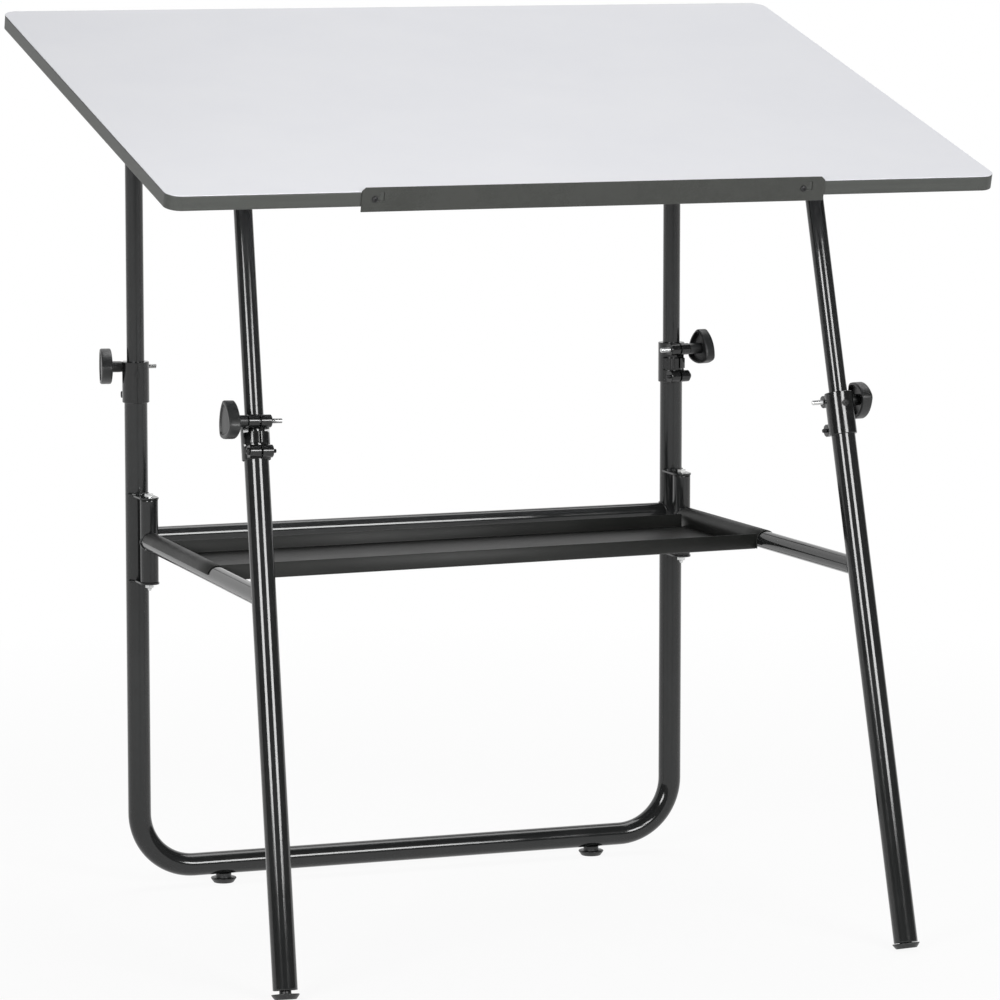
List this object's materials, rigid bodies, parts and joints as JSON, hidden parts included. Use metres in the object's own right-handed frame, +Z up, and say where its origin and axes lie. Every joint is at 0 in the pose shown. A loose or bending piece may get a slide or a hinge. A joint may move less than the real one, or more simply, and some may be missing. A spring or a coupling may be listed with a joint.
{
  "type": "folding craft table",
  "caption": "Drawing table with a tilted laminate board on telescopic tube legs, clamp knobs, swing-in front legs, lift-off sheet tray and a pencil ledge.",
  "frame": {"origin": "middle of the footprint's box, on the floor", "axes": "+Z up, +Y to the back, so the low front edge of the board with its pencil ledge faces -Y"},
  "size_m": [1.067, 0.7888, 1.1517],
  "materials": {
    "laminate": "pale melamine laminate on board",
    "edging": "dark grey plastic edging",
    "gloss_black": "gloss black enamel",
    "satin_black": "satin black enamel",
    "black_plastic": "moulded, satin",
    "zinc": "bright zinc plate"
  },
  "bodies": {
    "base": {"rear_frame": "gloss_black", "rear_cross_tube": "gloss_black", "hinge_plate_upper_left": "gloss_black", "hinge_plate_upper_right": "gloss_black", "hinge_plate_lower_left": "gloss_black", "hinge_plate_lower_right": "gloss_black", "hinge_bolt_left": "zinc", "hinge_bolt_right": "zinc", "hinge_nut_left": "zinc", "hinge_nut_right": "zinc", "collar_rear_left": "black_plastic", "collar_rear_right": "black_plastic", "clamp_bolt_rear_left": "satin_black", "clamp_bolt_rear_right": "satin_black"},
    "rear_posts": {"rear_post_left": "gloss_black", "rear_post_right": "gloss_black", "post_head_left": "black_plastic", "post_head_right": "black_plastic"},
    "top": {"top_panel": "laminate", "edge_band": "edging", "top_bracket_left": "satin_black", "top_bracket_right": "satin_black", "pivot_pin_left": "zinc", "pivot_pin_right": "zinc", "front_rest_left": "black_plastic", "front_rest_right": "black_plastic", "ledge_screw_left": "satin_black", "ledge_screw_right": "satin_black"},
    "pencil_ledge": {"pencil_ledge": "satin_black"},
    "tray": {"tray": "satin_black"},
    "front_leg_left": {"hinge_sleeve_left": "gloss_black", "side_arm_left": "gloss_black", "front_leg_left": "gloss_black", "leg_plug_left": "black_plastic", "collar_front_left": "black_plastic", "clamp_bolt_front_left": "satin_black"},
    "front_post_left": {"front_post_left": "gloss_black", "post_cap_left": "black_plastic"},
    "front_leg_right": {"hinge_sleeve_right": "gloss_black", "side_arm_right": "gloss_black", "front_leg_right": "gloss_black", "leg_plug_right": "black_plastic", "collar_front_right": "black_plastic", "clamp_bolt_front_right": "satin_black"},
    "front_post_right": {"front_post_right": "gloss_black", "post_cap_right": "black_plastic"},
    "knob_front_left": {"knob_front_left": "black_plastic", "knob_stud_front_left": "zinc"},
    "front_foot_left": {"front_foot_left": "black_plastic"},
    "knob_rear_left": {"knob_rear_left": "black_plastic", "knob_stud_rear_left": "zinc"},
    "rear_foot_left": {"rear_foot_left": "black_plastic"},
    "knob_front_right": {"knob_front_right": "black_plastic", "knob_stud_front_right": "zinc"},
    "front_foot_right": {"front_foot_right": "black_plastic"},
    "knob_rear_right": {"knob_rear_right": "black_plastic", "knob_stud_rear_right": "zinc"},
    "rear_foot_right": {"rear_foot_right": "black_plastic"}
  },
  "joints": [
    {"name": "height", "type": "slide", "parent": "base", "child": "rear_posts", "axis": [0, 0, 1], "range_m": [-0.22, 0.05]},
    {"name": "top_flip", "type": "hinge", "parent": "rear_posts", "child": "top", "pos_m": [0, 0.32655, 1.0927], "axis": [-1, 0, 0], "range_deg": [0, 75]},
    {"name": "ledge_slide", "type": "slide", "parent": "top", "child": "pencil_ledge", "axis": [-1, 0, 0], "range_m": [0, 0.0095]},
    {"name": "left_leg_fold", "type": "hinge", "parent": "base", "child": "front_leg_left", "pos_m": [-0.3741, 0.28075, 0], "axis": [0, 0, 1], "range_deg": [0, 88]},
    {"name": "front_height_left", "type": "slide", "parent": "front_leg_left", "child": "front_post_left", "axis": [0.0297, 0.2487, 0.9681], "range_m": [-0.2436, 0.0554]},
    {"name": "right_leg_fold", "type": "hinge", "parent": "base", "child": "front_leg_right", "pos_m": [0.3741, 0.28075, 0], "axis": [0, 0, -1], "range_deg": [0, 52.8]},
    {"name": "front_height_right", "type": "slide", "parent": "front_leg_right", "child": "front_post_right", "axis": [-0.0297, 0.2487, 0.9681], "range_m": [-0.2436, 0.0554]},
    {"name": "tray_removal", "type": "slide", "parent": "base", "child": "tray", "axis": [-0.866, 0, 0.5], "range_m": [0, 1.07]},
    {"name": "knob_front_left_turn", "type": "hinge", "parent": "front_leg_left", "child": "knob_front_left", "pos_m": [-0.40035, -0.22428, 0.67864], "axis": [-0.9996, 0.0074, 0.0287], "range_deg": [0, 360]},
    {"name": "front_foot_left_turn", "type": "hinge", "parent": "front_leg_left", "child": "front_foot_left", "pos_m": [-0.40579, -0.37862, 0.00338], "axis": [0.0297, 0.2487, 0.9681], "range_deg": [-360, 360]},
    {"name": "knob_rear_left_turn", "type": "hinge", "parent": "base", "child": "knob_rear_left", "pos_m": [-0.38839, 0.34759, 0.6896], "axis": [-0.9816, 0.1908, 0], "range_deg": [0, 360]},
    {"name": "rear_foot_left_turn", "type": "hinge", "parent": "base", "child": "rear_foot_left", "pos_m": [-0.26195, 0.32655, 0], "axis": [0, 0, 1], "range_deg": [-360, 360]},
    {"name": "knob_front_right_turn", "type": "hinge", "parent": "front_leg_right", "child": "knob_front_right", "pos_m": [0.40035, -0.18845, 0.66943], "axis": [0.9996, 0.0074, 0.0287], "range_deg": [0, 360]},
    {"name": "front_foot_right_turn", "type": "hinge", "parent": "front_leg_right", "child": "front_foot_right", "pos_m": [0.40579, -0.37862, 0.00338], "axis": [-0.0297, 0.2487, 0.9681], "range_deg": [-360, 360]},
    {"name": "knob_rear_right_turn", "type": "hinge", "parent": "base", "child": "knob_rear_right", "pos_m": [0.39545, 0.31127, 0.6896], "axis": [0.9816, 0.1908, 0], "range_deg": [0, 360]},
    {"name": "rear_foot_right_turn", "type": "hinge", "parent": "base", "child": "rear_foot_right", "pos_m": [0.26195, 0.32655, 0], "axis": [0, 0, 1], "range_deg": [-360, 360]}
  ],
  "couplings": [
    {"joint": "front_height_left", "follows": "height", "ratio": 1.1071},
    {"joint": "front_height_right", "follows": "height", "ratio": 1.1071},
    {"joint": "right_leg_fold", "follows": "left_leg_fold", "ratio": 0.6},
    {"joint": "tray_removal", "follows": "left_leg_fold", "m_per_rad": 0.6966}
  ]
}
